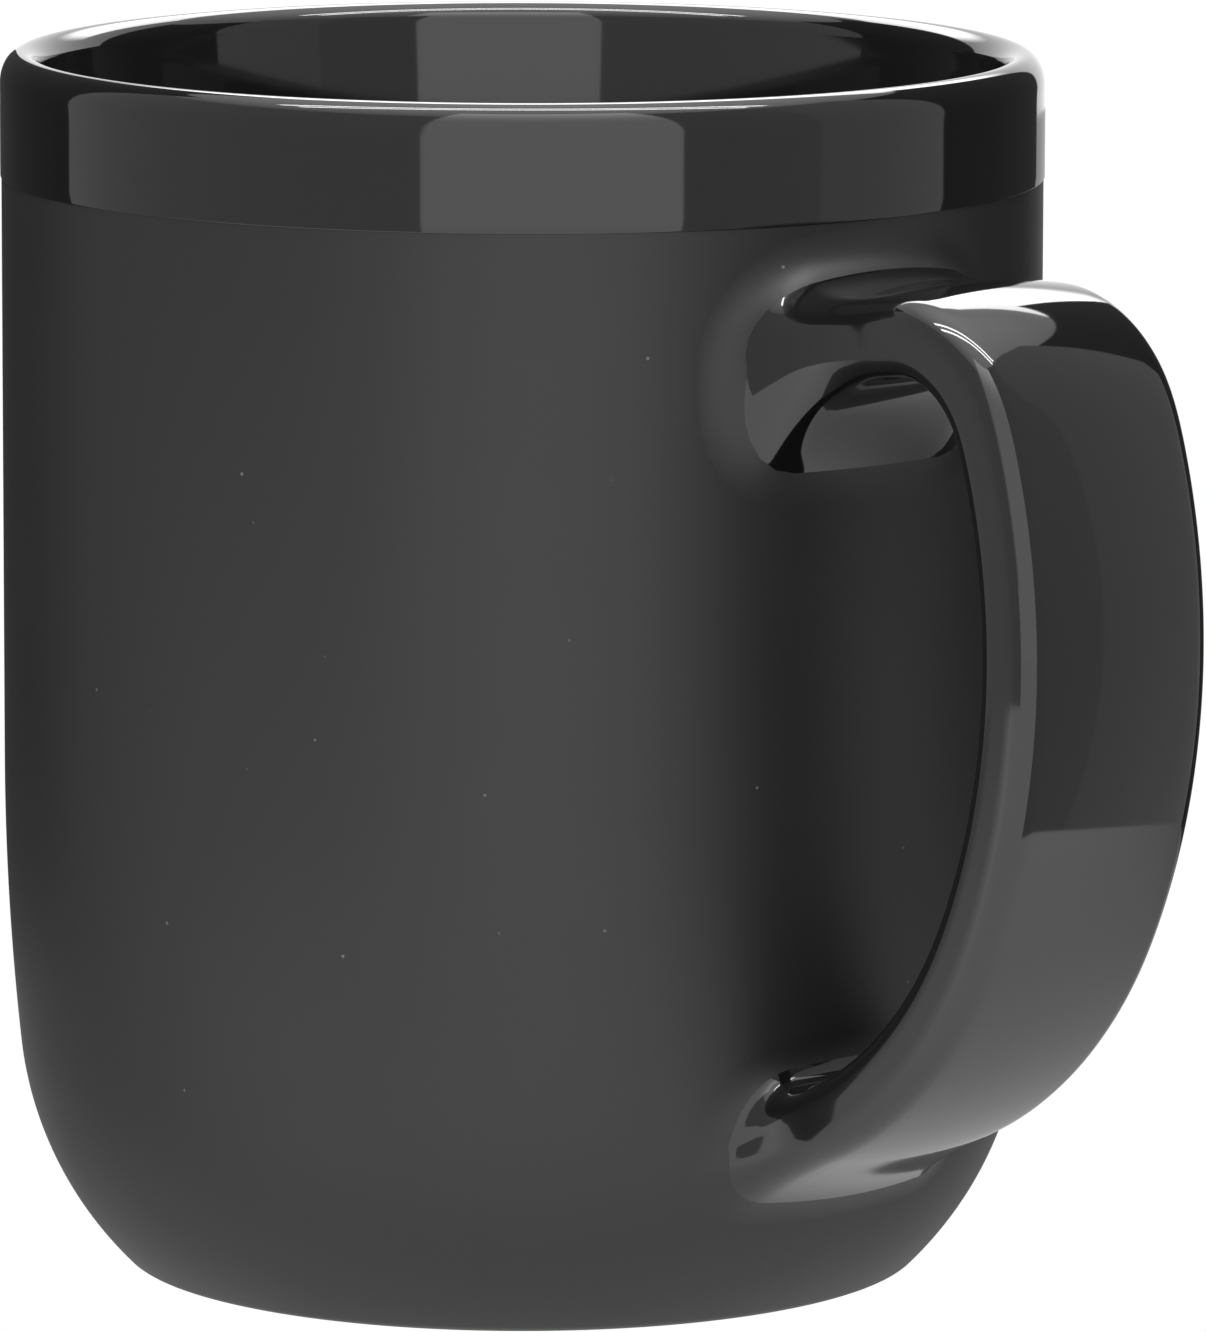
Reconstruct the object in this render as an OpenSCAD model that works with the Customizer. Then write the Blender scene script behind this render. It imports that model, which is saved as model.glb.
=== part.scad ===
// Glazed stoneware mug: a cast cup on a dry foot ring, with a cast strap handle luted on.
// The cup stands on the plane z = 0 with its axis on +Z, and the handle points along +X.

/* [Cup] */
// Diameter over the rim glaze
cup_d = 86; // [80:0.5:92]
// Height from the foot to the top of the lip
cup_h = 100.8; // [96:0.2:112]
// Thickness of the rim with both coats of glaze
wall_t = 3.5; // [3:0.1:4.5]
// Radius of the rounded heel, seen in section
heel_r = 29.75; // [28:0.25:32]
// Height of the centre of the heel's curve
heel_z = 21.6; // [20.5:0.1:22.5]
// Slope off vertical where the heel passes into the belly
heel_slope = 6; // [5:0.5:7]
// Height where the belly becomes an upright wall
belly_z = 42.3; // [40:0.5:46]
// Radius of the corner between the inner wall and the floor
well_r = 26; // [20:0.5:28]
// Height of the drinking side of the floor
floor_z = 6.5; // [6:0.1:9]
// Outward lean of the inner wall at the mouth, in degrees
mouth_lean = 6.3; // [4:0.1:7]
// Height where the lean is full
mouth_z = 91.5; // [90:0.5:94]
// Radius of the bend between the upright inner wall and the lean
mouth_bend_r = 50; // [30:5:80]

/* [Foot] */
// Outer diameter of the dry foot ring
foot_d = 63.6; // [60:0.2:64]
// Width of the foot ring's resting face
foot_w = 4.2; // [3:0.1:6]
// Height of bare clay under the edge of the outer glaze
foot_h = 0.5; // [0.4:0.1:1]
// Depth of the recess inside the foot ring
recess_h = 2; // [1.5:0.1:2.5]

/* [Glaze] */
// Thickness of the glossy coats
gloss_t = 0.35; // [0.25:0.05:0.5]
// Thickness of the matte coats
matte_t = 0.3; // [0.2:0.05:0.5]
// Depth of the glossy band below the top of the lip
band_h = 10.2; // [8:0.1:14]

/* [Handle] */
// Reach of the handle from the cup's axis
reach = 73.5; // [71:0.1:79]
// Height of the farthest point of the handle
widest_z = 58.5; // [57:0.5:60]
// Width of the strap
strap_w = 20; // [18:0.5:22]
// Thickness of the strap along its middle
strap_t = 6.9; // [6:0.1:8]
// Height of the strap's crown, from its long edges to its middle
strap_crown = 0.9; // [0.5:0.1:1.2]
// Radius of the strap's long edges
strap_edge_r = 2; // [1.5:0.1:2.4]
// Outer radius of the long grip curve
grip_r = 55.9; // [51:0.1:61]
// Outer radius of the bend at the top
bend_r = 14.2; // [13:0.1:15]
// Outer radius of the curve into the lower root
low_r = 38.9; // [37:0.1:41]
// Rise of the top arm away from the cup, in degrees
arm_rise = 9; // [6:1:10]

/* [Joints] */
// Radius of the slip fillets round the two roots
fillet_r = 5.5; // [4:0.5:6]

/* [Hidden] */

$fn = 144;

// Fired clay under the coats
clay_r = cup_d / 2 - gloss_t;
clay_lip_r = wall_t / 2 - gloss_t;
lip_z = cup_h - wall_t / 2;
lip_at = cup_d / 2 - wall_t / 2;
band_z = cup_h - band_h;

// Inner wall: upright, then a shallow bend, then a lean that runs into the lip
rim_r = cup_d / 2 - wall_t;
mouth_r = rim_r - (lip_z - mouth_z) * tan(mouth_lean);
inner_r = mouth_r - mouth_bend_r * (1 - cos(mouth_lean));
inner_top = mouth_z - mouth_bend_r * sin(mouth_lean);

// The belly is one shallow arc that leaves the heel at heel_slope and ends upright at belly_z
clay_heel_r = heel_r - gloss_t;
belly_r = (belly_z - heel_z) / sin(heel_slope) + clay_heel_r;
belly_at = clay_r - belly_r;
heel_at = belly_at + (belly_r - clay_heel_r) * cos(heel_slope);

// Handle curves, each centre worked out from the one before
grip_top = 20;
grip_low = -26;
low_end = -68;
grip_c = [reach - grip_r, widest_z];
bend_c = grip_c + (grip_r - bend_r) * [cos(grip_top), sin(grip_top)];
low_c = grip_c + (grip_r - low_r) * [cos(grip_low), sin(grip_low)];
edge_steps = 4;
crown_steps = 6;
arm_l = 16;
tail_l = 10;

// The flatter of two stretches goes this far into the tighter one, and is this much slimmer all round
lap_l = 0.5;
lap_t = 0.02;
lap_turn = 0.5;

// Roots: where the middle of the strap crosses the wall, and which way each fillet faces
upper_root = [41.8, 81.05];
upper_tilt = 4;
lower_root = [39.6, 15.95];
lower_tilt = -6;
root_depth = 6;
skirt_lip = 0.6;

// Section of the solid outside of the cup, grown by a coat of thickness grow
module outside_2d(grow) {
    meet_z = heel_z - (clay_heel_r + grow) * sin(heel_slope);
    translate([0, belly_z])
        square([clay_r + grow, lip_z - belly_z]);
    intersection() {
        translate([belly_at, belly_z])
            circle(belly_r + grow, $fn = 720);
        translate([0, meet_z])
            square([cup_d, belly_z - meet_z]);
    }
    intersection() {
        translate([heel_at, heel_z])
            circle(clay_heel_r + grow);
        translate([0, foot_h])
            square([cup_d, meet_z - foot_h]);
    }
    translate([0, foot_h])
        square([heel_at, meet_z - foot_h]);
}

// A whole turn about the cup's axis, its seam at the back, clear of the handle
module turned() {
    rotate(180)
        rotate_extrude()
            children();
}

// Section of the hollow inside the cup, grown by the coat that lines it
module cavity_2d(grow) {
    translate([0, lip_z])
        square([rim_r + grow, wall_t]);
    polygon([[0, mouth_z], [mouth_r + grow, mouth_z], [rim_r + grow, lip_z], [0, lip_z]]);
    difference() {
        translate([0, inner_top])
            square([mouth_r + grow, mouth_z - inner_top]);
        translate([inner_r + grow + mouth_bend_r, inner_top])
            circle(mouth_bend_r, $fn = 360);
    }
    translate([0, floor_z + well_r])
        square([inner_r + grow, inner_top - floor_z - well_r]);
    intersection() {
        translate([inner_r - well_r, floor_z + well_r])
            circle(well_r + grow);
        square([cup_d, cup_h]);
    }
    translate([0, floor_z - grow])
        square([inner_r - well_r, well_r + grow]);
}

// Section of the straight-sided recess under the cup
module recess_2d() {
    square([foot_d / 2 - foot_w, recess_h + matte_t]);
}

// Section of the strap across its length, the middle of its outer face on x = 0, shrunk all round by inset
module strap_2d(inset) {
    edge_r = strap_edge_r - inset;
    flat_w = strap_w / 2 - strap_edge_r;
    shoulder = -strap_crown * pow(2 * flat_w / strap_w, 2);
    corners = [[shoulder - strap_edge_r, flat_w],
               [strap_edge_r - strap_t, flat_w],
               [strap_edge_r - strap_t, -flat_w],
               [shoulder - strap_edge_r, -flat_w]];
    edges = [for (i = [0 : 3], k = [0 : edge_steps])
        corners[i] + edge_r * [cos(90 * (i + k / edge_steps)), sin(90 * (i + k / edge_steps))]];
    crown = [for (k = [1 : crown_steps - 1])
        [shoulder * pow(1 - 2 * k / crown_steps, 2) - inset, flat_w * (2 * k / crown_steps - 1)]];
    polygon(concat(edges, crown));
}

// One stretch of the strap that bends about the point c
module strap_arc(c, r, from, to, inset) {
    translate(c)
        rotate(to)
            rotate_extrude(angle = from - to)
                translate([r, 0])
                    strap_2d(inset);
}

// One straight stretch of the strap, tangent to a bend at one end and let into it by a short lap
module strap_run(c, r, at, length, turn, inset) {
    translate(c)
        rotate(at)
            translate([r, 0])
                rotate([turn, 0, 0])
                    translate([0, 0, -lap_l])
                        linear_extrude(length + lap_l)
                            strap_2d(inset + lap_t);
}

// The whole strap, its ends run on into the cup
module strap(inset) {
    rotate([90, 0, 0]) {
        strap_run(bend_c, bend_r, 90 + arm_rise, arm_l, -90, inset);
        strap_arc(bend_c, bend_r, 90 + arm_rise, grip_top, inset);
        strap_arc(grip_c, grip_r, grip_top + lap_turn, grip_low - lap_turn, inset + lap_t);
        strap_arc(low_c, low_r, grip_low, low_end, inset);
        strap_run(low_c, low_r, low_end, tail_l, 90, inset);
    }
}

// Half the section of a post that stands on a wall, with a concave fillet at its foot
module flare_2d(half) {
    difference() {
        translate([0, -root_depth])
            square([half + fillet_r, root_depth + fillet_r]);
        translate([half + fillet_r, fillet_r])
            circle(fillet_r, $fn = 64);
    }
}

// A concave skirt round the strap, widest at the wall, one fillet radius high and skirt_lip thick at its tip
module skirt(root, tilt) {
    half_t = strap_t / 2 - strap_edge_r;
    half_w = strap_w / 2 - strap_edge_r;
    translate([root[0], 0, root[1]])
        rotate([0, 90 - tilt, 0]) {
            for (x = [-half_t, half_t], y = [-half_w, half_w])
                translate([x, y, 0])
                    rotate_extrude($fn = 64)
                        flare_2d(strap_edge_r + skirt_lip);
            for (turn = [0, 180])
                rotate(turn)
                    rotate([90, 0, 0])
                        linear_extrude(2 * half_w, center = true)
                            flare_2d(strap_t / 2 + skirt_lip);
            for (turn = [90, 270])
                rotate(turn)
                    rotate([90, 0, 0])
                        linear_extrude(2 * half_t, center = true)
                            flare_2d(strap_w / 2 + skirt_lip);
        }
}

module upper_skirt() {
    skirt(upper_root, upper_tilt);
}

module lower_skirt() {
    skirt(lower_root, lower_tilt);
}

// Fired stoneware, bare only on the foot ring
module cup_body() {
    color("#b9a58c")
        turned()
            difference() {
                union() {
                    outside_2d(0);
                    translate([lip_at, lip_z])
                        circle(clay_lip_r, $fn = 48);
                    square([foot_d / 2, heel_z]);
                }
                cavity_2d(gloss_t);
                recess_2d();
            }
}

// Strap of the same clay, cut to the curve of the cup
module handle() {
    color("#b9a58c")
        difference() {
            strap(gloss_t);
            turned()
                outside_2d(0);
        }
}

// Slip fillet under the top arm and round it, matte like the wall
module upper_joint() {
    color("#35363a")
        difference() {
            upper_skirt();
            strap(gloss_t);
            turned()
                outside_2d(0);
        }
}

// Slip fillet round the lower root
module lower_joint() {
    color("#35363a")
        difference() {
            lower_skirt();
            strap(gloss_t);
            turned()
                outside_2d(0);
        }
}

// Glossy coat that lines the cup, turns over the lip and ends in an even band
module liner_glaze() {
    color("#101113")
        turned() {
            difference() {
                cavity_2d(gloss_t);
                cavity_2d(0);
                translate([0, lip_z])
                    square([cup_d, cup_h]);
            }
            difference() {
                translate([lip_at, lip_z])
                    circle(wall_t / 2, $fn = 48);
                translate([lip_at, lip_z])
                    circle(clay_lip_r, $fn = 48);
                square([cup_d, lip_z]);
            }
            translate([clay_r, band_z])
                square([gloss_t, lip_z - band_z]);
        }
}

// Matte coat from the band down to the foot, left open round the two roots
module matte_glaze() {
    color("#35363a")
        difference() {
            turned()
                difference() {
                    outside_2d(matte_t);
                    outside_2d(0);
                    translate([0, band_z])
                        square([cup_d, cup_h]);
                    square([foot_d / 2, heel_z]);
                }
            upper_skirt();
            lower_skirt();
        }
}

// Glossy coat on the strap between the two fillets
module handle_glaze() {
    color("#17181a")
        difference() {
            strap(0);
            strap(gloss_t);
            upper_skirt();
            lower_skirt();
            turned()
                outside_2d(matte_t);
        }
}

// Coat on the roof of the recess, inside the dry foot ring
module base_glaze() {
    color("#35363a")
        translate([0, 0, recess_h])
            cylinder(h = matte_t, r = foot_d / 2 - foot_w);
}

cup_body();
handle();
upper_joint();
lower_joint();
liner_glaze();
matte_glaze();
handle_glaze();
base_glaze();
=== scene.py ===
"""A glazed stoneware mug: cast cup, strap handle luted on at two roots, matte outside and glossy inside."""

import math

import bpy
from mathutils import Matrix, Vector


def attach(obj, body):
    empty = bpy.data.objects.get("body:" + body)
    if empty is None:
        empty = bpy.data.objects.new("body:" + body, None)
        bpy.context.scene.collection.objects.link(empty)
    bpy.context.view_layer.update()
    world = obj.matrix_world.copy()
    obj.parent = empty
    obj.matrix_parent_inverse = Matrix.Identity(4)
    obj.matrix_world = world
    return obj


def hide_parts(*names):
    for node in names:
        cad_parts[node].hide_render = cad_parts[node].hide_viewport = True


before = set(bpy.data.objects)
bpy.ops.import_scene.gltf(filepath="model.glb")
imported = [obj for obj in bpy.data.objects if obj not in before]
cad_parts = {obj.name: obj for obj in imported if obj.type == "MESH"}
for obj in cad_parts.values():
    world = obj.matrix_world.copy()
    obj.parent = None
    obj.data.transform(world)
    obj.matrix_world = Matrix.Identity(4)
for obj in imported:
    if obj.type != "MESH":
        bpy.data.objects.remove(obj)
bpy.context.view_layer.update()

# ---- Camera -------------------------------------------------------------------------------------
# A long lens a little above the rim, with the handle turned to the right of the line of sight.

MM = 0.001
VIEW_DIRECTION = math.radians(-40.0)
CAMERA_DISTANCE = 934 * MM
CAMERA_HEIGHT = 196.1 * MM
CAMERA_ROLL = math.radians(0.14)
AIM_ASIDE = 6.72 * MM
AIM_HEIGHT = 49.5 * MM

camera_data = bpy.data.cameras.new("camera")
camera_data.lens = 308.0
camera_data.sensor_width = 36.0
camera_data.clip_start = 0.01
camera = bpy.data.objects.new("camera", camera_data)
bpy.context.collection.objects.link(camera)
towards_camera = Vector((math.cos(VIEW_DIRECTION), math.sin(VIEW_DIRECTION), 0))
right_of_view = Vector((-math.sin(VIEW_DIRECTION), math.cos(VIEW_DIRECTION), 0))
camera.location = towards_camera * CAMERA_DISTANCE + Vector((0, 0, CAMERA_HEIGHT))
aim = right_of_view * AIM_ASIDE + Vector((0, 0, AIM_HEIGHT))
camera.rotation_euler = (aim - camera.location).to_track_quat("-Z", "Y").to_euler()
camera.rotation_euler.rotate_axis("Z", CAMERA_ROLL)
bpy.context.scene.camera = camera

# ---- Cup ----------------------------------------------------------------------------------------
# The cast cup of buff stoneware. Every coat lies on it, so it shows only on the foot ring, which is
# wiped clean before firing and ground a little flat. The clay is dry and sandy, without any shine.

CUP_R = 43.0
CUP_H = 100.79
WALL = 3.5
HEEL_R = 29.75
HEEL_Z = 21.6
HEEL_SLOPE = math.radians(6)
BELLY_Z = 42.3
HEEL_EDGE_R = 1.7
LIP_OUT_H = 2.6
WELL_R = 26.0
FLOOR_Z = 6.5
MOUTH_LEAN = math.radians(6.3)
MOUTH_Z = 91.5
MOUTH_BEND_R = 50.0
GLOSS_T = 0.35
MATTE_T = 0.3
FOOT_R = 31.8
FOOT_W = 4.2
FOOT_EDGE_R = 0.35
RECESS_H = 2.0
RECESS_ROUND_W, RECESS_ROUND_H = 1.4, 1.2
RECESS_FLAT = 2.0
TURNS = 288

CLAY_R = CUP_R - GLOSS_T
CLAY_HEEL_R = HEEL_R - GLOSS_T
BELLY_R = (BELLY_Z - HEEL_Z) / math.sin(HEEL_SLOPE) + CLAY_HEEL_R
BELLY_AT = CLAY_R - BELLY_R
HEEL_AT = BELLY_AT + (BELLY_R - CLAY_HEEL_R) * math.cos(HEEL_SLOPE)
LIP_AT = CUP_R - WALL / 2
LIP_Z = CUP_H - WALL / 2
RIM_R = CUP_R - WALL
MOUTH_R = RIM_R - (LIP_Z - MOUTH_Z) * math.tan(MOUTH_LEAN)
INNER_R = MOUTH_R - MOUTH_BEND_R * (1 - math.cos(MOUTH_LEAN))
INNER_TOP = MOUTH_Z - MOUTH_BEND_R * math.sin(MOUTH_LEAN)


def arc(cx, cz, rx, rz, start, end, steps):
    """Points of an elliptical arc in section, angles in degrees from +r towards +z."""
    points = []
    for k in range(steps + 1):
        a = math.radians(start + (end - start) * k / steps)
        points.append((cx + rx * math.cos(a), cz + rz * math.sin(a)))
    return points


def outside(grow, top):
    """The cup's outline grown by a coat, from under the heel up to the height top."""
    small = HEEL_EDGE_R + grow
    big = CLAY_HEEL_R + grow
    turn = math.radians(45)
    cx = HEEL_AT + (big - small) * math.cos(turn)
    cz = HEEL_Z - (big - small) * math.sin(turn)
    points = arc(cx, cz, small, small, -86, -45, 8)[:-1]
    points += arc(HEEL_AT, HEEL_Z, big, big, -45, -6, 30)[:-1]
    points += arc(BELLY_AT, BELLY_Z, BELLY_R + grow, BELLY_R + grow, -6, 0, 24)
    rows = 20
    for k in range(1, rows + 1):
        points.append((CLAY_R + grow, BELLY_Z + (top - BELLY_Z) * k / rows))
    return points


def inside(grow):
    """The hollow's outline grown by the coat that lines it, from the lip down to the axis."""
    rows = 6
    points = []
    for k in range(rows):
        points.append((RIM_R + grow + (MOUTH_R - RIM_R) * k / rows, LIP_Z + (MOUTH_Z - LIP_Z) * k / rows))
    lean = math.degrees(MOUTH_LEAN)
    points += arc(INNER_R + grow + MOUTH_BEND_R, INNER_TOP, MOUTH_BEND_R, MOUTH_BEND_R, 180 - lean, 180, 8)
    centre_r = INNER_R - WELL_R
    centre_z = FLOOR_Z + WELL_R
    rows = 14
    points += [(INNER_R + grow, INNER_TOP + (centre_z - INNER_TOP) * k / rows) for k in range(1, rows)]
    points += arc(centre_r, centre_z, WELL_R + grow, WELL_R + grow, 0, -90, 24)
    points += [(centre_r * (1 - k / 4), FLOOR_Z - grow) for k in range(1, 5)]
    return points


def turned(name, outline, closed):
    """A mesh turned about the cup's axis from (r, z) points in millimetres, smooth except at corners."""
    verts, rows, faces = [], [], []
    for r, z in outline:
        count = 1 if r < 1e-6 else TURNS
        rows.append(list(range(len(verts), len(verts) + count)))
        for k in range(count):
            a = 2 * math.pi * (k + 0.5) / TURNS
            verts.append((r * math.cos(a) * MM, r * math.sin(a) * MM, z * MM))
    pairs = list(zip(rows, rows[1:]))
    if closed:
        pairs.append((rows[-1], rows[0]))
    for low, high in pairs:
        if len(low) == len(high) == 1:
            continue
        for k in range(TURNS):
            n = (k + 1) % TURNS
            if len(low) == 1:
                faces.append((low[0], high[n], high[k]))
            elif len(high) == 1:
                faces.append((low[k], low[n], high[0]))
            else:
                faces.append((low[k], low[n], high[n], high[k]))
    return piece(name, verts, faces)


def piece(name, verts, faces, sharp=math.radians(38)):
    """A new object with smooth shading that breaks where faces meet at more than the sharp angle."""
    mesh = bpy.data.meshes.new(name)
    mesh.from_pydata(verts, [], faces)
    mesh.polygons.foreach_set("use_smooth", [True] * len(mesh.polygons))
    mesh.set_sharp_from_angle(angle=sharp)
    mesh.update()
    made = bpy.data.objects.new(name, mesh)
    bpy.context.collection.objects.link(made)
    return made


def linear(hex_colour):
    """An sRGB hex colour as the linear RGBA that a shader socket takes."""
    values = [int(hex_colour[k : k + 2], 16) / 255 for k in (1, 3, 5)]
    return [v / 12.92 if v <= 0.04045 else ((v + 0.055) / 1.055) ** 2.4 for v in values] + [1.0]


def add(tree, kind, settings=None, links=None, **attributes):
    """A shader node with its attributes, socket values and incoming links."""
    made = tree.nodes.new(kind)
    for key, value in attributes.items():
        setattr(made, key, value)
    for socket, value in (settings or {}).items():
        made.inputs[socket].default_value = value
    for socket, source in (links or {}).items():
        tree.links.new(source, made.inputs[socket])
    return made


def new_material(name):
    """An empty material and its tree."""
    made = bpy.data.materials.new(name)
    made.use_nodes = True
    made.node_tree.nodes.clear()
    return made, made.node_tree


def finish_material(tree, shader):
    """The output node of a material."""
    add(tree, "ShaderNodeOutputMaterial", links={"Surface": shader.outputs["BSDF"]})


# Fired stoneware: buff clay with iron specks, IOR about 1.55 but so rough that it only looks dry.
# Grit is 0.3 mm across and stands out a few hundredths of a millimetre.
stoneware, tree = new_material("bare_stoneware")
where = add(tree, "ShaderNodeTexCoord")
grit = add(tree, "ShaderNodeTexNoise", {"Scale": 1 / (0.6 * MM), "Detail": 3.0},
           {"Vector": where.outputs["Object"]})
cloud = add(tree, "ShaderNodeTexNoise", {"Scale": 1 / (9 * MM), "Detail": 2.0},
            {"Vector": where.outputs["Object"]})
speck = add(tree, "ShaderNodeTexVoronoi", {"Scale": 1 / (1.8 * MM)}, {"Vector": where.outputs["Object"]})
buff = add(tree, "ShaderNodeMix", {"A": linear("#a8937a"), "B": linear("#bba78c")},
           {"Factor": cloud.outputs["Fac"]}, data_type="RGBA")
speck_mask = add(tree, "ShaderNodeMapRange",
                 {"From Min": 0.10, "From Max": 0.16, "To Min": 1.0, "To Max": 0.0},
                 {"Value": speck.outputs["Distance"]})
clay_colour = add(tree, "ShaderNodeMix", {"B": linear("#6a4f38")},
                  {"Factor": speck_mask.outputs["Result"], "A": buff.outputs["Result"]},
                  data_type="RGBA")
clay_bump = add(tree, "ShaderNodeBump", {"Strength": 0.6, "Distance": 0.05 * MM},
                {"Height": grit.outputs["Fac"]})
clay_shader = add(tree, "ShaderNodeBsdfPrincipled", {"Roughness": 0.88, "IOR": 1.55},
                  {"Base Color": clay_colour.outputs["Result"], "Normal": clay_bump.outputs["Normal"]})
finish_material(tree, clay_shader)

clay_lip = WALL / 2 - GLOSS_T
clay_outline = outside(0, LIP_Z)
clay_outline += arc(LIP_AT, LIP_Z, clay_lip, clay_lip, 0, 180, 16)[1:]
clay_outline += inside(GLOSS_T)[1:]
recess_r = FOOT_R - FOOT_W
roof_z = RECESS_H + MATTE_T
clay_foot = [(0, roof_z), (recess_r - RECESS_FLAT, roof_z)]
clay_foot += arc(recess_r - RECESS_FLAT, roof_z - RECESS_ROUND_H, RECESS_ROUND_W, RECESS_ROUND_H, 90, 20, 6)
clay_foot += arc(recess_r + FOOT_EDGE_R, FOOT_EDGE_R, FOOT_EDGE_R, FOOT_EDGE_R, 180, 270, 5)
clay_foot += arc(FOOT_R - FOOT_EDGE_R, FOOT_EDGE_R, FOOT_EDGE_R, FOOT_EDGE_R, -90, 0, 5)
clay_foot += [(FOOT_R, clay_outline[0][1] + 0.05)]
cup = turned("stoneware_cup", clay_foot + clay_outline[1:], closed=False)
cup.data.materials.append(stoneware)
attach(cup, "root")
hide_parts("cup_body")

# ---- Liner --------------------------------------------------------------------------------------
# Glossy black glaze, poured inside and swilled out, then the rim dipped: it turns over the lip and
# stops in an even band whose lower edge stands up as a fine bead.

BAND_H = 10.2
BAND_Z = CUP_H - BAND_H
BEAD = 0.1

# Gloss black glaze: a glass with IOR 1.5, nearly smooth, so it mirrors the room. The surface still
# carries a faint orange peel, some 4 mm from crest to crest, and pinholes too small to draw.
gloss, tree = new_material("gloss_black_glaze")
where = add(tree, "ShaderNodeTexCoord")
peel = add(tree, "ShaderNodeTexNoise", {"Scale": 1 / (4 * MM), "Detail": 1.0},
           {"Vector": where.outputs["Object"]})
gloss_bump = add(tree, "ShaderNodeBump", {"Strength": 0.25, "Distance": 0.01 * MM},
                 {"Height": peel.outputs["Fac"]})
pooling = add(tree, "ShaderNodeTexNoise", {"Scale": 1 / (14 * MM), "Detail": 2.0},
              {"Vector": where.outputs["Object"]})
gloss_colour = add(tree, "ShaderNodeMix", {"A": linear("#0a0a0b"), "B": linear("#101011")},
                   {"Factor": pooling.outputs["Fac"]}, data_type="RGBA")
gloss_shader = add(tree, "ShaderNodeBsdfPrincipled", {"Roughness": 0.05, "IOR": 1.5},
                   {"Base Color": gloss_colour.outputs["Result"], "Normal": gloss_bump.outputs["Normal"]})
finish_material(tree, gloss_shader)

liner_outline = [(CLAY_R, BAND_Z)]
liner_outline += arc(CUP_R - BEAD, BAND_Z + BEAD, BEAD, BEAD, -90, 0, 5)
lip_start = CUP_H - LIP_OUT_H
liner_outline += [(CUP_R, BAND_Z + BEAD + (lip_start - BAND_Z - BEAD) * k / 8) for k in range(1, 8)]
liner_outline += arc(LIP_AT, lip_start, WALL / 2, LIP_OUT_H, 0, 90, 16)
liner_outline += arc(LIP_AT, LIP_Z, WALL / 2, WALL / 2, 90, 180, 14)[1:]
liner_outline += inside(0)[1:]
back_face = inside(GLOSS_T)[::-1]
back_face += arc(LIP_AT, LIP_Z, clay_lip, clay_lip, 180, 0, 16)[1:]
liner = turned("gloss_liner", liner_outline + back_face, closed=True)
liner.data.materials.append(gloss)
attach(liner, "root")
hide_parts("liner_glaze")

# ---- Matte coat ---------------------------------------------------------------------------------
# Satin-matte black glaze, sprayed over the wall and the fillets and wiped off just above the foot.
# Fine crystals scatter the light, so it shows soft reflections with a dusty grain.

MATTE_SINK = 0.1

# Matte black glaze: IOR 1.46 with a micro-crystalline skin. The crystals are 0.05 mm and too fine to
# show, so the grain is drawn at 0.5 mm. A few pale specks, 0.2 to 0.3 mm across, sit in the surface.
matte, tree = new_material("matte_black_glaze")
where = add(tree, "ShaderNodeTexCoord")
grain = add(tree, "ShaderNodeTexNoise", {"Scale": 1 / (0.5 * MM), "Detail": 4.0, "Roughness": 0.6},
            {"Vector": where.outputs["Object"]})
drift = add(tree, "ShaderNodeTexNoise", {"Scale": 1 / (12 * MM), "Detail": 3.0},
            {"Vector": where.outputs["Object"]})
dust = add(tree, "ShaderNodeTexVoronoi", {"Scale": 1 / (4.5 * MM)}, {"Vector": where.outputs["Object"]})
dust_mask = add(tree, "ShaderNodeMapRange",
                {"From Min": 0.015, "From Max": 0.04, "To Min": 1.0, "To Max": 0.0},
                {"Value": dust.outputs["Distance"]})
matte_body = add(tree, "ShaderNodeMix", {"A": linear("#08080a"), "B": linear("#0e0e0f")},
                 {"Factor": grain.outputs["Fac"]}, data_type="RGBA")
matte_colour = add(tree, "ShaderNodeMix", {"B": linear("#555555")},
                   {"Factor": dust_mask.outputs["Result"], "A": matte_body.outputs["Result"]},
                   data_type="RGBA")
matte_rough = add(tree, "ShaderNodeMapRange", {"To Min": 0.44, "To Max": 0.52},
                  {"Value": drift.outputs["Fac"]})
matte_bump = add(tree, "ShaderNodeBump", {"Strength": 0.5, "Distance": 0.012 * MM},
                 {"Height": grain.outputs["Fac"]})
matte_shader = add(tree, "ShaderNodeBsdfPrincipled", {"IOR": 1.46},
                   {"Base Color": matte_colour.outputs["Result"],
                    "Roughness": matte_rough.outputs["Result"],
                    "Normal": matte_bump.outputs["Normal"]})
finish_material(tree, matte_shader)

MATTE_GROW = GLOSS_T - MATTE_SINK
matte_outline = outside(MATTE_GROW, BAND_Z)
matte_back = outside(0, BAND_Z)[::-1]
matte_wall = turned("matte_wall", matte_outline + matte_back, closed=True)
matte_wall.data.materials.append(matte)
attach(matte_wall, "root")
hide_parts("matte_glaze")

# The coat inside the recess is the same glaze, brushed on in a thin round pool.
POOL_MARGIN = 3.4
pool_r = recess_r - POOL_MARGIN
pool = [(0, RECESS_H), (pool_r, RECESS_H)]
pool += arc(pool_r, RECESS_H + MATTE_T / 2, MATTE_T, MATTE_T / 2, -90, 90, 6)
pool += [(0, roof_z)]
base_coat = turned("recess_coat", pool, closed=False)
base_coat.data.materials.append(matte)
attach(base_coat, "root")
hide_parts("base_glaze")

# ---- Handle -------------------------------------------------------------------------------------
# A cast strap of the same clay. It leaves the wall nearly level, turns down in one tight bend, runs
# on as a long shallow curve and comes back to the heel. Both ends flare where slip was worked in.

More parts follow.
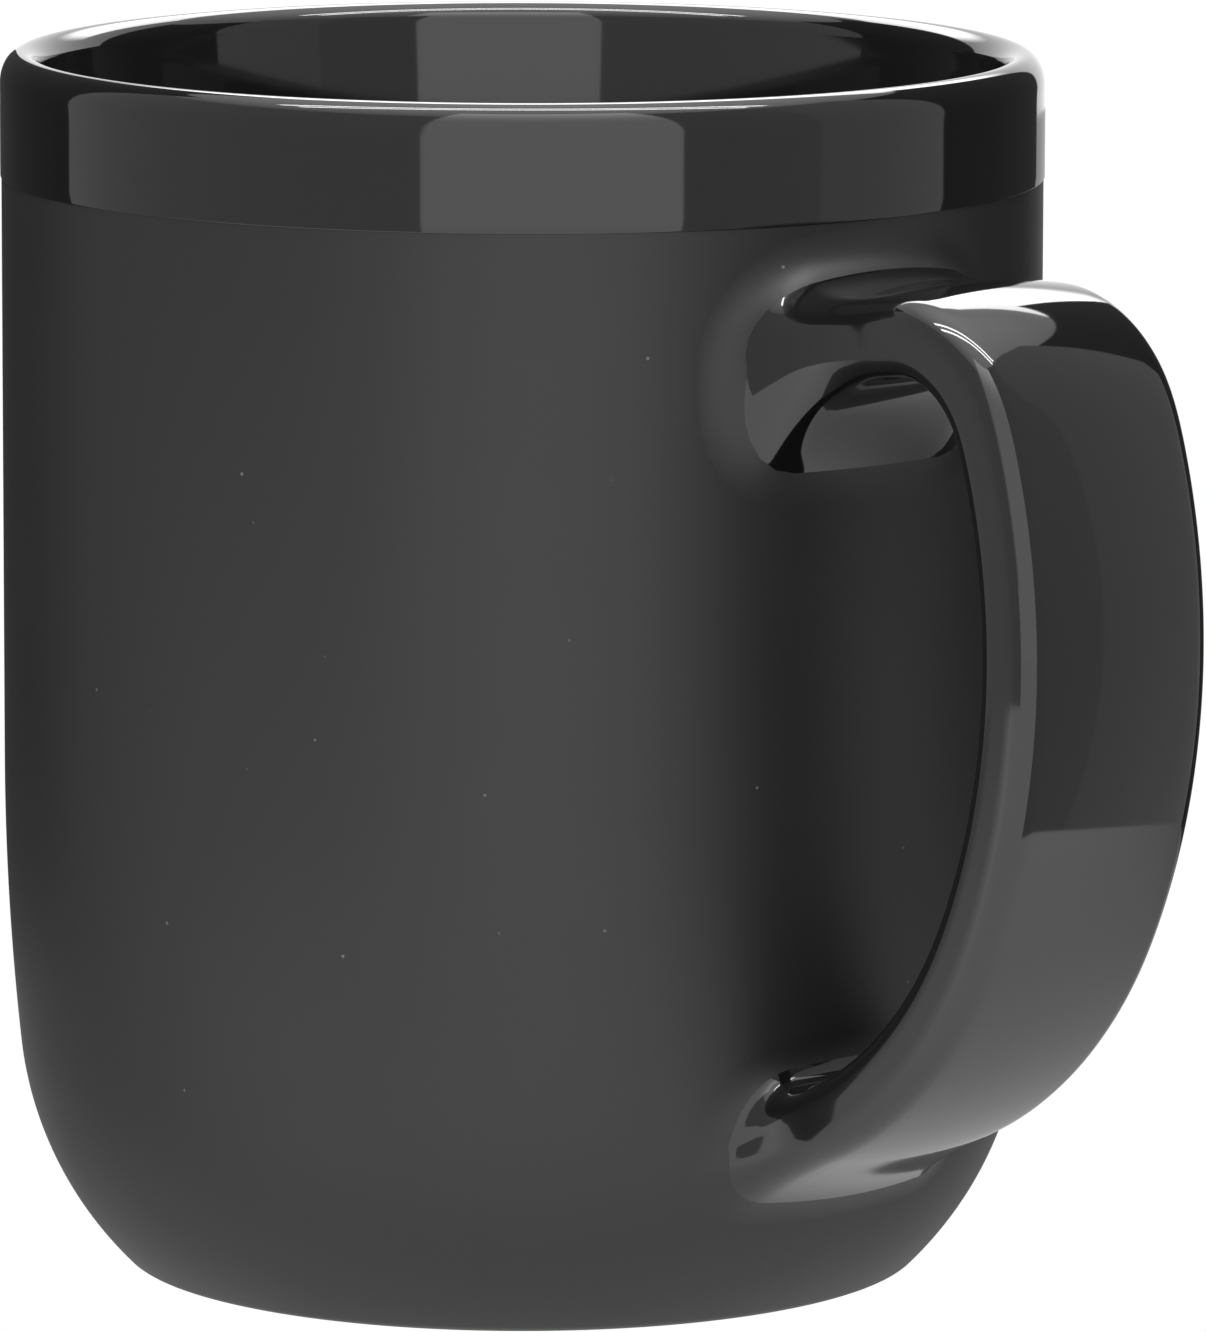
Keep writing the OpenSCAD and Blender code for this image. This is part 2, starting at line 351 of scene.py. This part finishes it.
REACH = 73.46
WIDEST_Z = 58.5
STRAP_W = 20.0
STRAP_T = 7.1
EDGE_OUT = 2.0
EDGE_IN = 2.0
CROWN_OUT = 0.9
CROWN_IN = 0.2
STEP = 0.5
EASE = 7.0
GRIP_R, BEND_R, LOW_R = 55.9, 14.2, 38.9
UP = [(1 / GRIP_R, math.radians(20)), (1 / BEND_R, math.radians(79))]
DOWN = [(1 / GRIP_R, math.radians(26)), (1 / LOW_R, math.radians(42))]
UPPER_STRAIGHT, LOWER_STRAIGHT = 16.0, 12.0
UPPER_FLARE_X, LOWER_FLARE_X = 53.0, 49.0
RUN_OUT = 0.62
LONGEST_ROOT = 40.0


def curve_from_widest(bends, up, straight):
    """Points (x, z, outward angle) of the outer face from the widest point to one end.

    Each bend is (curvature, turn). Curvature eases from one to the next, so reflections run smoothly.
    """
    edges, total = [], 0.0
    for curvature, turn in bends:
        total += turn / curvature
        edges.append(total)
    levels = [c for c, _ in bends] + [0.0]
    x, z, angle, s = REACH, WIDEST_Z, 0.0, 0.0
    points = [(x, z, angle)]
    while s < total + straight:
        bend = levels[0]
        for edge, before, after in zip(edges, levels, levels[1:]):
            t = min(max((s + STEP / 2 - edge) / EASE + 0.5, 0.0), 1.0)
            bend += (after - before) * t * t * (3 - 2 * t)
        middle = angle + up * bend * STEP / 2
        x -= up * math.sin(middle) * STEP
        z += up * math.cos(middle) * STEP
        angle += up * bend * STEP
        s += STEP
        points.append((x, z, angle))
    return points


def strap_outline(edge_out, edge_in):
    """The strap's section as (depth, aside, normal depth, normal aside), depth 0 on the outer face."""
    half = STRAP_W / 2
    corners = [(-edge_out, half - edge_out, edge_out, 0),
               (edge_in - STRAP_T, half - edge_in, edge_in, 90),
               (edge_in - STRAP_T, edge_in - half, edge_in, 180),
               (-edge_out, edge_out - half, edge_out, 270)]
    corner_steps = 8
    between = [4, 14, 4, 14]
    points = []
    for (depth, aside, r, start), gap, following in zip(corners, between, corners[1:] + corners[:1]):
        for k in range(corner_steps + 1):
            a = math.radians(start + 90 * k / corner_steps)
            points.append((depth + r * math.cos(a), aside + r * math.sin(a), math.cos(a), math.sin(a)))
        a = math.radians(start + 90)
        last = points[-1]
        nxt = (following[0] + following[2] * math.cos(a), following[1] + following[2] * math.sin(a))
        for k in range(1, gap):
            f = k / gap
            points.append((last[0] + (nxt[0] - last[0]) * f, last[1] + (nxt[1] - last[1]) * f,
                           math.cos(a), math.sin(a)))
    crowned = []
    for depth, aside, nd, na in points:
        share = 1 + depth / STRAP_T
        sag = (CROWN_OUT * share - CROWN_IN * (1 - share)) * (aside / half) ** 2
        crowned.append((depth - sag, aside, nd, na))
    return crowned


def on_strap(station, depth, aside):
    """A point of the strap, from a station on its outer face."""
    x, z, angle = station
    return Vector((x + depth * math.cos(angle), aside, z + depth * math.sin(angle)))


upward = curve_from_widest(UP, 1, UPPER_STRAIGHT)
downward = curve_from_widest(DOWN, -1, LOWER_STRAIGHT)
section = strap_outline(EDGE_OUT, EDGE_IN)

# The wall as the roots meet it, as points and lengths along its section from the heel upwards
wall_line = outside(MATTE_GROW, BAND_Z)
wall_run = [0.0]
for a, b in zip(wall_line, wall_line[1:]):
    wall_run.append(wall_run[-1] + math.hypot(b[0] - a[0], b[1] - a[1]))


def wall_at(run):
    """Radius, height and upward direction of the wall at a length along its section."""
    k = 1
    while k < len(wall_run) - 1 and wall_run[k] < run:
        k += 1
    a, b = wall_line[k - 1], wall_line[k]
    length = wall_run[k] - wall_run[k - 1]
    f = (run - wall_run[k - 1]) / length
    step_r, step_z = b[0] - a[0], b[1] - a[1]
    return a[0] + step_r * f, a[1] + step_z * f, step_r / length, step_z / length


def wall_radius(z):
    """The wall's radius at a height."""
    for a, b in zip(wall_line, wall_line[1:]):
        if a[1] <= z <= b[1]:
            return a[0] + (b[0] - a[0]) * (z - a[1]) / (b[1] - a[1])
    return wall_line[0][0] if z < wall_line[0][1] else wall_line[-1][0]


def wall_length(z):
    """The length along the wall's section at a height."""
    for k in range(1, len(wall_line)):
        if wall_line[k][1] >= z:
            a, b = wall_line[k - 1], wall_line[k]
            return wall_run[k - 1] + (wall_run[k] - wall_run[k - 1]) * (z - a[1]) / (b[1] - a[1])
    return wall_run[-1]


def hit_wall(start, direction):
    """Where a line from a point of the strap meets the wall."""
    low, high = 0.0, LONGEST_ROOT
    for _ in range(40):
        mid = (low + high) / 2
        p = start + direction * mid
        if math.hypot(p.x, p.y) > wall_radius(p.z):
            low = mid
        else:
            high = mid
    return start + direction * high


def flare(station, towards, reaches, pulls, rounds):
    """Lines of a root from the strap to the wall, one for each point of the section, as Bezier points.

    reaches gives how far the fillet spreads on the outer, inner and side faces, and pulls how long
    the strap holds its shape on each before it turns out. rounds are the radii of the strap's outer
    and inner edges at the wall.
    """
    x, z, angle = station
    along = Vector((-math.sin(angle) * towards, 0, math.cos(angle) * towards))
    outward = Vector((math.cos(angle), 0, math.sin(angle)))
    lines = []
    for (depth, aside, nd, na), (root_depth, root_aside, _, _) in zip(section, strap_outline(*rounds)):
        start = on_strap(station, depth, aside)
        corner = hit_wall(on_strap(station, root_depth, root_aside), along)
        face = (max(nd, 0) ** 2, max(-nd, 0) ** 2, na ** 2)
        reach = sum(f * v for f, v in zip(face, reaches))
        pull = sum(f * v for f, v in zip(face, pulls))
        r = math.hypot(corner.x, corner.y)
        turn = math.atan2(corner.y, corner.x)
        run = wall_length(corner.z)
        _, _, up_r, up_z = wall_at(run)
        meridian = Vector((up_r * math.cos(turn), up_r * math.sin(turn), up_z))
        around = Vector((-math.sin(turn), math.cos(turn), 0))
        normal = outward * nd + Vector((0, 1, 0)) * na
        up_part, around_part = normal.dot(meridian), normal.dot(around)
        size = math.hypot(up_part, around_part)
        up_part, around_part = up_part / size, around_part / size
        end_r, end_z, up_r, up_z = wall_at(run + reach * up_part)
        end_turn = turn + reach * around_part / ((r + end_r) / 2)
        end = Vector((end_r * math.cos(end_turn), end_r * math.sin(end_turn), end_z))
        leave = (Vector((up_r * math.cos(end_turn), up_r * math.sin(end_turn), up_z)) * up_part
                 + Vector((-math.sin(end_turn), math.cos(end_turn), 0)) * around_part)
        first = start + along * (corner - start).length * pull
        second = end - leave * (end - corner).length * RUN_OUT
        lines.append((start, first, second, end))
    return lines


UPPER_FLARE = dict(reaches=(5.5, 10.5, 6.0), pulls=(0.75, 0.45, 0.75), rounds=(4.9, 2.1))
LOWER_FLARE = dict(reaches=(3.0, 5.0, 5.5), pulls=(0.75, 0.6, 0.75), rounds=(2.1, 4.0))
upper_start = next(k for k, (x, _, _) in enumerate(upward) if x < UPPER_FLARE_X)
lower_start = next(k for k, (x, _, _) in enumerate(downward) if x < LOWER_FLARE_X)
upper_lines = flare(upward[upper_start], 1, **UPPER_FLARE)
lower_lines = flare(downward[lower_start], -1, **LOWER_FLARE)
stations = list(reversed(upward[1:upper_start])) + downward[:lower_start]
strap_rings = [[on_strap(s, depth, aside) for depth, aside, _, _ in section] for s in stations]


def normals(rings):
    """Outward normals of a tube of rings."""
    count = len(rings[0])
    out = []
    for i, ring in enumerate(rings):
        before, after = rings[max(i - 1, 0)], rings[min(i + 1, len(rings) - 1)]
        row = []
        for j in range(count):
            n = (after[j] - before[j]).cross(ring[(j + 1) % count] - ring[j - 1])
            row.append(n.normalized())
        out.append(row)
    return out


def loft(name, rings, closed):
    """A mesh over rings of points in millimetres, joined end to end where closed, else capped flat."""
    count = len(rings[0])
    verts = [p * MM for ring in rings for p in ring]
    faces = []
    for i in range(len(rings) if closed else len(rings) - 1):
        a, b = i * count, (i + 1) % len(rings) * count
        for j in range(count):
            n = (j + 1) % count
            faces.append((a + j, b + j, b + n, a + n))
    if not closed:
        faces.append(tuple(range(count)))
        faces.append(tuple(reversed(range(len(verts) - count, len(verts)))))
    return piece(name, verts, faces)


# How far the glossy coat runs down each flare, as a share of it, on the outer, inner and side faces
UPPER_GLOSS = (0.5, 0.81, 0.63)
LOWER_GLOSS = (0.6, 0.7, 0.6)
GLOSS_STEPS = 30


def edge_rows(shares):
    """For each point of the section, the share of the flare where the glossy coat ends."""
    rows = []
    for _, _, nd, na in section:
        face = (max(nd, 0) ** 2, max(-nd, 0) ** 2, na ** 2)
        rows.append(sum(f * v for f, v in zip(face, shares)))
    return rows


def at_share(lines, shares):
    """The points of a flare at a share of the way down each line."""
    points = []
    for (a, b, c, d), t in zip(lines, shares):
        points.append(a * (1 - t) ** 3 + b * 3 * t * (1 - t) ** 2 + c * 3 * t * t * (1 - t) + d * t ** 3)
    return points


def part_rings(lines, start, end, steps):
    """Rings of a flare between two shares that vary round the section."""
    rings = []
    for k in range(steps + 1):
        f = k / steps
        rings.append(at_share(lines, [a + (b - a) * f for a, b in zip(start, end)]))
    return rings


none = [0.0] * len(section)
whole = [1.0] * len(section)
upper_edge = edge_rows(UPPER_GLOSS)
lower_edge = edge_rows(LOWER_GLOSS)
gloss_rings = part_rings(upper_lines, none, upper_edge, GLOSS_STEPS)[::-1]
gloss_rings += strap_rings
gloss_rings += part_rings(lower_lines, none, lower_edge, GLOSS_STEPS)
gloss_normals = normals(gloss_rings)

# The clay strap lies one coat's thickness inside the glaze.
clay_rings = [[p - n * GLOSS_T for p, n in zip(ring, row)] for ring, row in zip(gloss_rings, gloss_normals)]
clay_strap = loft("stoneware_strap", clay_rings, closed=False)
clay_strap.data.materials.append(stoneware)
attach(clay_strap, "root")
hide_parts("handle")

# The glossy coat is dipped over the strap and stops in a clean oval line on each flare.
coat_rings = gloss_rings + clay_rings[::-1]
gloss_strap = loft("gloss_strap", coat_rings, closed=True)
gloss_strap.data.materials.append(gloss)
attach(gloss_strap, "root")
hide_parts("handle_glaze")

# ---- Root fillets -------------------------------------------------------------------------------
# Slip worked round each root with a finger before firing, then sprayed matte with the wall. Each
# runs out to nothing on the wall and dips under the glossy coat's edge.


UNDERLAP = 0.03
COAT_STEP = 0.06
BACK_DEPTH = 0.4
FILLET_STEPS = 24


def root_fillet(name, lines, edge):
    """A closed ring of slip from under the glossy edge out to the wall, with its hidden back."""
    rings = part_rings(lines, [e - UNDERLAP for e in edge], whole, FILLET_STEPS)
    rows = normals(rings)
    if (rings[0][0] - rings[0][len(section) // 2]).dot(rows[0][0]) < 0:
        rows = [[-n for n in row] for row in rows]
    skin, back = [], []
    for k, (ring, row) in enumerate(zip(rings, rows)):
        drop = COAT_STEP * (1 - k / FILLET_STEPS)
        skin.append([p - n * drop for p, n in zip(ring, row)])
        back.append([p - n * BACK_DEPTH for p, n in zip(ring, row)])
    made = loft(name, skin + back[::-1], closed=True)
    made.data.materials.append(matte)
    return made


upper_fillet = root_fillet("upper_fillet", upper_lines, upper_edge)
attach(upper_fillet, "root")
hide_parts("upper_joint")

lower_fillet = root_fillet("lower_fillet", lower_lines, lower_edge)
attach(lower_fillet, "root")
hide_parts("lower_joint")

# ---- Studio -------------------------------------------------------------------------------------
# A white sweep under an even sky, soft cards all round, tubes overhead and black flags that give the
# glaze its dark edges. None of it is part of the mug.


def glow(name, low, high=None, low_at=0.0, high_at=1.0, along=(0, 0, 1)):
    """A plain glow whose strength climbs from low to high between two places along a direction."""
    made, tree = new_material(name)
    light = add(tree, "ShaderNodeEmission", {"Color": (1, 1, 1, 1), "Strength": low})
    if high is not None:
        place = add(tree, "ShaderNodeTexCoord")
        far = add(tree, "ShaderNodeVectorMath", {1: along}, {0: place.outputs["Object"]},
                  operation="DOT_PRODUCT")
        climb = add(tree, "ShaderNodeMapRange",
                    {"From Min": low_at, "From Max": high_at, "To Min": low, "To Max": high},
                    {"Value": far.outputs["Value"]}, interpolation_type="SMOOTHSTEP")
        tree.links.new(climb.outputs["Result"], light.inputs["Strength"])
    add(tree, "ShaderNodeOutputMaterial", links={"Surface": light.outputs["Emission"]})
    return made


def card(name, start, end, distance, height, material):
    """A standing curved card from start to end, in degrees to the right of the camera."""
    verts, faces = [], []
    cuts = max(2, round((end - start) / 4))
    for k in range(cuts + 1):
        a = VIEW_DIRECTION + math.radians(start + (end - start) * k / cuts)
        verts += [(distance * math.cos(a), distance * math.sin(a), z) for z in (0.0005, height)]
        if k:
            faces.append((2 * k - 2, 2 * k, 2 * k + 1, 2 * k - 1))
    stand(piece(name, verts, faces), material)


def stand(made, material):
    """Sets a studio piece out of the camera's sight."""
    made.data.materials.append(material)
    made.visible_camera = False
    made.visible_shadow = False


black_cloth = glow("black_cloth", 0.06)
card("front_box", -20.5, 34.5, 0.5, 1.0, glow("front_box", 2.0, 5.0, 0.35, 1.0))
card("left_card", -111, -20.5, 0.3, 0.4, glow("left_card", 0.7))
card("left_flag", -157, -102.7, 0.14, 0.26, black_cloth)
card("right_card_near", 29.7, 58.1, 0.14, 0.25, glow("right_card_near", 0.6))
card("right_card_far", 58.1, 90.9, 0.14, 0.25, glow("right_card_far", 0.72))
card("right_flag", 90.9, 139, 0.14, 0.23, black_cloth)
card("back_box", 145, 215, 0.9, 1.0, glow("back_box", 1.3, 8.0, 0.4, 0.6))

# Two tubes side by side run across the view overhead.
TUBE_Z, TUBE_HALF, TUBE_W = 0.9, 0.5, 0.036
tube_light = glow("overhead_tubes", 30.0)
for letter, ahead in (("a", 0.02), ("b", 0.12)):
    ends = [right_of_view * side * TUBE_HALF + towards_camera * (ahead + edge * TUBE_W / 2)
            for side, edge in ((-1, -1), (1, -1), (1, 1), (-1, 1))]
    tube = piece("overhead_tube_" + letter, [(v.x, v.y, TUBE_Z) for v in ends], [(0, 1, 2, 3)])
    stand(tube, tube_light)

# The sweep that the camera sees and the one that the glaze sees. Both lie a hair under the foot.
SWEEP_HALF = 4.0
SEEN_SWEEP_Z, GLAZE_SWEEP_Z = -0.0001, -0.0005
corners = [(-SWEEP_HALF, -SWEEP_HALF), (SWEEP_HALF, -SWEEP_HALF),
           (SWEEP_HALF, SWEEP_HALF), (-SWEEP_HALF, SWEEP_HALF)]
floor = piece("floor", [(x, y, SEEN_SWEEP_Z) for x, y in corners], [(0, 1, 2, 3)])
floor.data.materials.append(glow("white_floor", 1.02))
floor.visible_diffuse = False
floor.visible_glossy = False
glaze_floor = piece("floor_in_the_glaze", [(x, y, GLAZE_SWEEP_Z) for x, y in corners], [(0, 1, 2, 3)])
stand(glaze_floor, glow("floor_in_the_glaze", 0.55, 1.9, -10 * MM, 90 * MM, towards_camera))

world = bpy.data.worlds.new("sky")
world.use_nodes = True
tree = world.node_tree
where = add(tree, "ShaderNodeTexCoord")
height = add(tree, "ShaderNodeSeparateXYZ", links={"Vector": where.outputs["Generated"]})
climb = add(tree, "ShaderNodeMapRange", {"From Min": 0.75, "From Max": 0.95, "To Min": 1.3, "To Max": 2.6},
            {"Value": height.outputs["Z"]})
tree.nodes["Background"].inputs["Color"].default_value = (1, 1, 1, 1)
tree.links.new(climb.outputs["Result"], tree.nodes["Background"].inputs["Strength"])
bpy.context.scene.world = world
bpy.context.scene.view_settings.view_transform = "Standard"
bpy.context.scene.cycles.use_denoising = True
